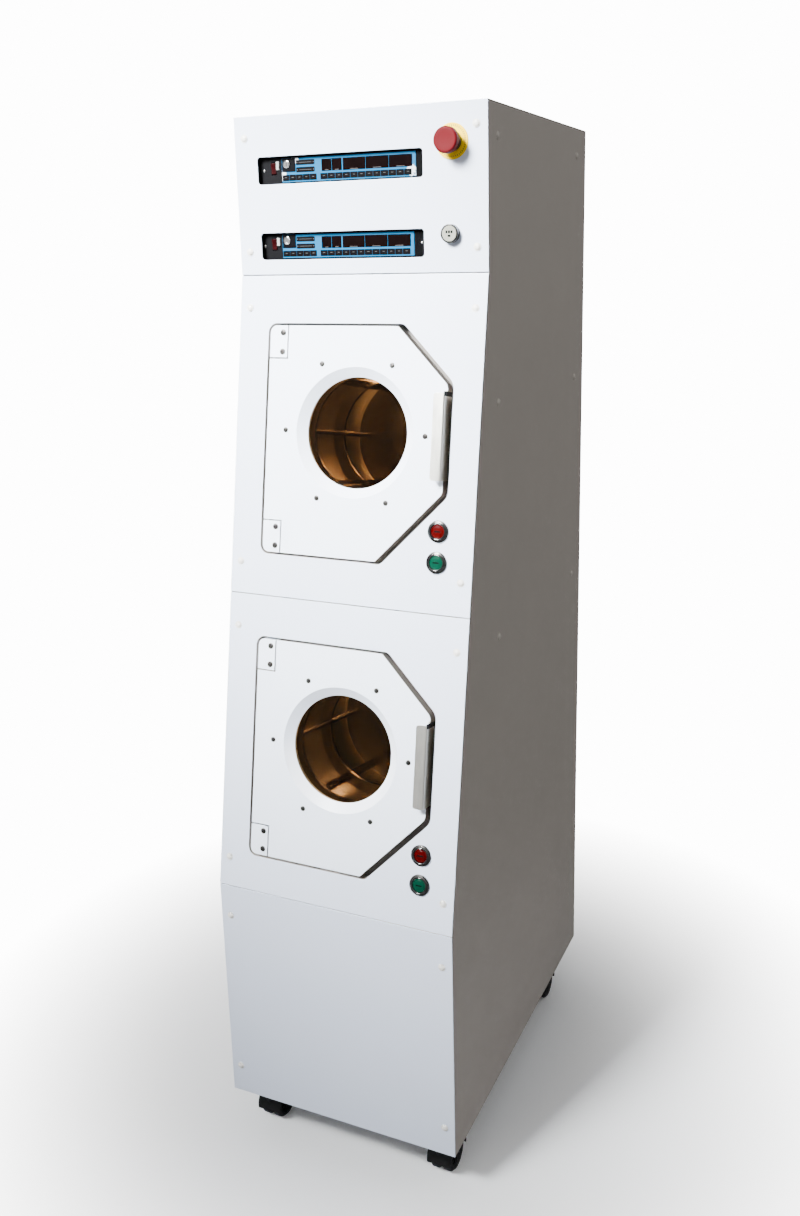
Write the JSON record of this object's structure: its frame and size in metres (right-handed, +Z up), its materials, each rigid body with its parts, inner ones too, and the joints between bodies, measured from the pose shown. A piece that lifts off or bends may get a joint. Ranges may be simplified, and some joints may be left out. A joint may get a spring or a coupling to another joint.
{
  "type": "spin rinse dryer",
  "caption": "Tall cabinet on swivel casters with a leaning front, stacked round-windowed chamber doors over spinning wafer rotors, and a control fascia with a mushroom stop button.",
  "frame": {"origin": "on the floor, in the middle of the box around the whole machine", "axes": "+X to the right seen from the front, +Y from the front to the back, +Z up"},
  "size_m": [0.425, 0.7074, 1.7118],
  "materials": {
    "white_sheet": "satin powder coat, white",
    "grey_sheet": "satin powder coat, warm grey",
    "frame_steel": "painted square tube",
    "galvanised": "galvanised sheet",
    "stainless": "brushed stainless steel",
    "rotor_steel": "electropolished stainless steel",
    "chrome_trim": "polished",
    "bearing_steel": "ground steel",
    "door_white": "satin white",
    "window_glass": "tinted clear window",
    "seal_rubber": "matte",
    "cap_plastic": "domed screw caps",
    "block_plastic": "white hinge blocks",
    "black_plastic": "fine grained",
    "overlay_blue": "membrane overlay",
    "red_lens": "lit lens",
    "green_lens": "lit lens",
    "ivory_lens": "lit lens",
    "estop_red": "moulded",
    "estop_yellow": "moulded",
    "plunger_plastic": "moulded",
    "motor_paint": "enamel",
    "housing_aluminium": "machined",
    "drain_plastic": "grey-white pipe",
    "valve_brass": "cast",
    "hood_plastic": "moulded",
    "wheel_tread": "hard tread",
    "red_rocker": "moulded"
  },
  "bodies": {
    "cabinet": {"base_pan": "galvanised", "left_side_panel": "grey_sheet", "right_side_panel": "grey_sheet", "rear_panel": "grey_sheet", "top_panel": "grey_sheet", "kick_panel": "white_sheet", "lower_chamber_panel": "white_sheet", "upper_chamber_panel": "white_sheet", "control_fascia": "white_sheet", "panel_screws": "cap_plastic", "corner_posts": "frame_steel", "lower_process_bowl": "stainless", "upper_process_bowl": "stainless", "bearing_housings": "housing_aluminium", "rotor_bearings": "bearing_steel", "drive_motors": "motor_paint", "spray_manifolds": "stainless", "hinge_blocks": "block_plastic", "hinge_pins": "stainless", "switch_bezels": "chrome_trim", "estop_disc": "estop_yellow", "controller_cases": "black_plastic", "controller_overlays": "overlay_blue", "drain_pipe": "drain_plastic", "fluid_inlets": "stainless", "power_gland": "black_plastic", "solenoid_valves": "valve_brass"},
    "lower_door": {"lower_door_panel": "door_white", "lower_door_window": "window_glass", "lower_window_clamp": "stainless", "lower_door_seal": "seal_rubber", "lower_door_handle": "stainless"},
    "lower_rotor": {"lower_rotor": "rotor_steel", "lower_rotor_shaft": "rotor_steel"},
    "lower_rocker": {"lower_rocker": "red_rocker"},
    "lower_key": {"lower_key_switch": "chrome_trim"},
    "lower_red_button": {"lower_red_button": "red_lens"},
    "lower_green_button": {"lower_green_button": "green_lens"},
    "upper_door": {"upper_door_panel": "door_white", "upper_door_window": "window_glass", "upper_window_clamp": "stainless", "upper_door_seal": "seal_rubber", "upper_door_handle": "stainless"},
    "upper_rotor": {"upper_rotor": "rotor_steel", "upper_rotor_shaft": "rotor_steel"},
    "upper_rocker": {"upper_rocker": "red_rocker"},
    "upper_key": {"upper_key_switch": "chrome_trim"},
    "upper_red_button": {"upper_red_button": "red_lens"},
    "upper_green_button": {"upper_green_button": "green_lens"},
    "power_button": {"power_button": "ivory_lens"},
    "estop_plunger": {"estop_plunger": "plunger_plastic"},
    "estop_head": {"estop_head": "estop_red"},
    "front_left_swivel": {"front_left_caster_hood": "hood_plastic"},
    "front_left_wheels": {"front_left_caster_wheels": "wheel_tread"},
    "front_right_swivel": {"front_right_caster_hood": "hood_plastic"},
    "front_right_wheels": {"front_right_caster_wheels": "wheel_tread"},
    "rear_left_swivel": {"rear_left_caster_hood": "hood_plastic"},
    "rear_left_wheels": {"rear_left_caster_wheels": "wheel_tread"},
    "rear_right_swivel": {"rear_right_caster_hood": "hood_plastic"},
    "rear_right_wheels": {"rear_right_caster_wheels": "wheel_tread"}
  },
  "joints": [
    {"name": "lower_door_hinge", "type": "hinge", "parent": "cabinet", "child": "lower_door", "pos_m": [-0.143, -0.2984, 0.74368], "axis": [0, -0.1736, -0.9848], "range_deg": [0, 110]},
    {"name": "upper_door_hinge", "type": "hinge", "parent": "cabinet", "child": "upper_door", "pos_m": [-0.143, -0.21157, 1.23608], "axis": [0, -0.1736, -0.9848], "range_deg": [0, 110]},
    {"name": "lower_rotor_spin", "type": "hinge", "parent": "cabinet", "child": "lower_rotor", "pos_m": [0.002, -0.1684, 0.72075], "axis": [0, -0.9848, 0.1736], "continuous": true},
    {"name": "upper_rotor_spin", "type": "hinge", "parent": "cabinet", "child": "upper_rotor", "pos_m": [0.002, -0.08158, 1.21316], "axis": [0, -0.9848, 0.1736], "continuous": true},
    {"name": "lower_red_press", "type": "slide", "parent": "cabinet", "child": "lower_red_button", "axis": [0, 0.9848, -0.1736], "range_m": [0, 0.003], "stiffness_N_per_m": 800, "springref_m": -0.001},
    {"name": "lower_green_press", "type": "slide", "parent": "cabinet", "child": "lower_green_button", "axis": [0, 0.9848, -0.1736], "range_m": [0, 0.003], "stiffness_N_per_m": 800, "springref_m": -0.001},
    {"name": "upper_red_press", "type": "slide", "parent": "cabinet", "child": "upper_red_button", "axis": [0, 0.9848, -0.1736], "range_m": [0, 0.003], "stiffness_N_per_m": 800, "springref_m": -0.001},
    {"name": "upper_green_press", "type": "slide", "parent": "cabinet", "child": "upper_green_button", "axis": [0, 0.9848, -0.1736], "range_m": [0, 0.003], "stiffness_N_per_m": 800, "springref_m": -0.001},
    {"name": "power_press", "type": "slide", "parent": "cabinet", "child": "power_button", "axis": [0, 1, 0], "range_m": [0, 0.003], "stiffness_N_per_m": 800, "springref_m": -0.001},
    {"name": "estop_press", "type": "slide", "parent": "cabinet", "child": "estop_plunger", "axis": [0, 1, 0], "range_m": [0, 0.0045], "stiffness_N_per_m": 2000, "springref_m": -0.001},
    {"name": "estop_twist", "type": "hinge", "parent": "estop_plunger", "child": "estop_head", "pos_m": [0.155, -0.1976, 1.65781], "axis": [0, -1, 0], "range_deg": [0, 30], "stiffness_Nm_per_rad": 0.2},
    {"name": "lower_rocker_tip", "type": "hinge", "parent": "cabinet", "child": "lower_rocker", "pos_m": [-0.1521, -0.1646, 1.52121], "axis": [-1, 0, 0], "range_deg": [0, 16]},
    {"name": "upper_rocker_tip", "type": "hinge", "parent": "cabinet", "child": "upper_rocker", "pos_m": [-0.1471, -0.1646, 1.63411], "axis": [-1, 0, 0], "range_deg": [0, 16]},
    {"name": "lower_key_turn", "type": "hinge", "parent": "cabinet", "child": "lower_key", "pos_m": [-0.1285, -0.1686, 1.52671], "axis": [0, -1, 0], "range_deg": [0, 90]},
    {"name": "upper_key_turn", "type": "hinge", "parent": "cabinet", "child": "upper_key", "pos_m": [-0.1235, -0.1686, 1.63961], "axis": [0, -1, 0], "range_deg": [0, 90]},
    {"name": "front_left_swivel", "type": "hinge", "parent": "cabinet", "child": "front_left_swivel", "pos_m": [-0.165, -0.29925, 0.088], "axis": [0, 0, 1], "continuous": true},
    {"name": "front_right_swivel", "type": "hinge", "parent": "cabinet", "child": "front_right_swivel", "pos_m": [0.165, -0.29925, 0.088], "axis": [0, 0, 1], "continuous": true},
    {"name": "rear_left_swivel", "type": "hinge", "parent": "cabinet", "child": "rear_left_swivel", "pos_m": [-0.165, 0.19875, 0.088], "axis": [0, 0, 1], "continuous": true},
    {"name": "rear_right_swivel", "type": "hinge", "parent": "cabinet", "child": "rear_right_swivel", "pos_m": [0.165, 0.19875, 0.088], "axis": [0, 0, 1], "continuous": true},
    {"name": "front_left_roll", "type": "hinge", "parent": "front_left_swivel", "child": "front_left_wheels", "pos_m": [-0.165, -0.28125, 0.03], "axis": [1, 0, 0], "continuous": true},
    {"name": "front_right_roll", "type": "hinge", "parent": "front_right_swivel", "child": "front_right_wheels", "pos_m": [0.165, -0.28125, 0.03], "axis": [1, 0, 0], "continuous": true},
    {"name": "rear_left_roll", "type": "hinge", "parent": "rear_left_swivel", "child": "rear_left_wheels", "pos_m": [-0.165, 0.21675, 0.03], "axis": [1, 0, 0], "continuous": true},
    {"name": "rear_right_roll", "type": "hinge", "parent": "rear_right_swivel", "child": "rear_right_wheels", "pos_m": [0.165, 0.21675, 0.03], "axis": [1, 0, 0], "continuous": true}
  ]
}
